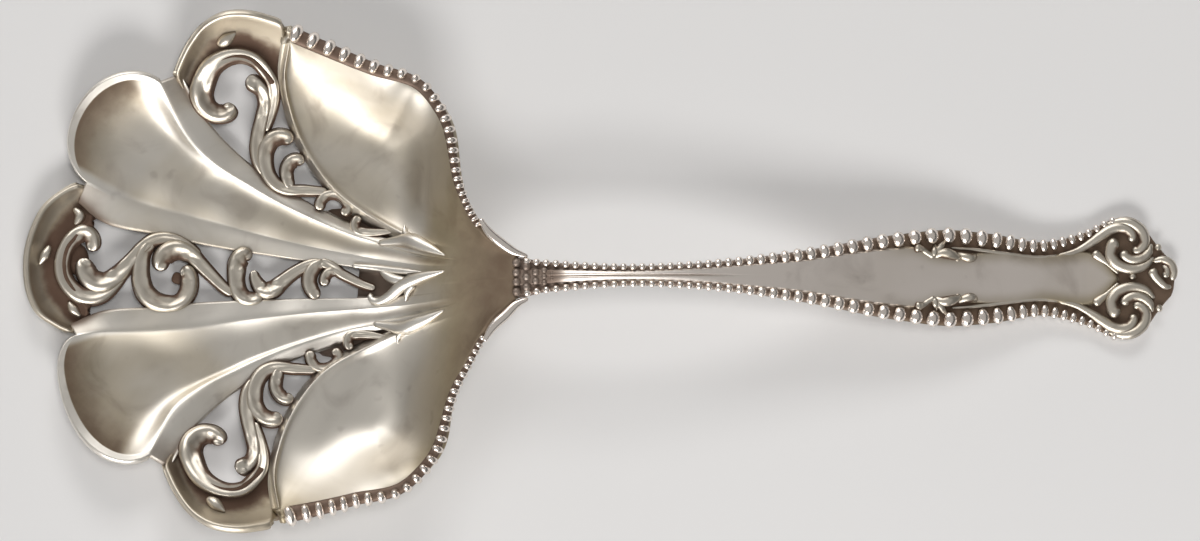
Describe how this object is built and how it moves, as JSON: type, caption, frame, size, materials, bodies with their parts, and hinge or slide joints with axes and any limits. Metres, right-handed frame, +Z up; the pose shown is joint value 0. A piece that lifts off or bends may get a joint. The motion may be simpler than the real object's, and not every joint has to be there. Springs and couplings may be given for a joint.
{
  "type": "almond spoon",
  "caption": "Small silver serving spoon with a scalloped, fluted bowl, pierced scroll panels, beaded borders and an arched handle that ends in volutes.",
  "frame": {"origin": "middle of the spoon's bounding box, on the table it rests on", "axes": "+X along the handle from the bowl to the handle's end, +Y to the spoon's left, +Z up"},
  "size_m": [0.121, 0.0546, 0.0132],
  "materials": {
    "bowl_silver": "polished sterling silver with a warm tone",
    "scroll_silver": "sterling silver with brown tarnish in its recesses",
    "bead_silver": "bright sterling silver, dark between the beads",
    "handle_silver": "sterling silver worn to a soft satin"
  },
  "bodies": {
    "root": {"bowl": "bowl_silver", "center_scroll_panel": "scroll_silver", "left_scroll_panel": "scroll_silver", "right_scroll_panel": "scroll_silver", "left_bowl_beading": "bead_silver", "right_bowl_beading": "bead_silver", "handle": "handle_silver", "left_handle_beading": "bead_silver", "right_handle_beading": "bead_silver", "neck_collar": "bead_silver", "terminal_scrolls": "scroll_silver"}
  },
  "joints": []
}
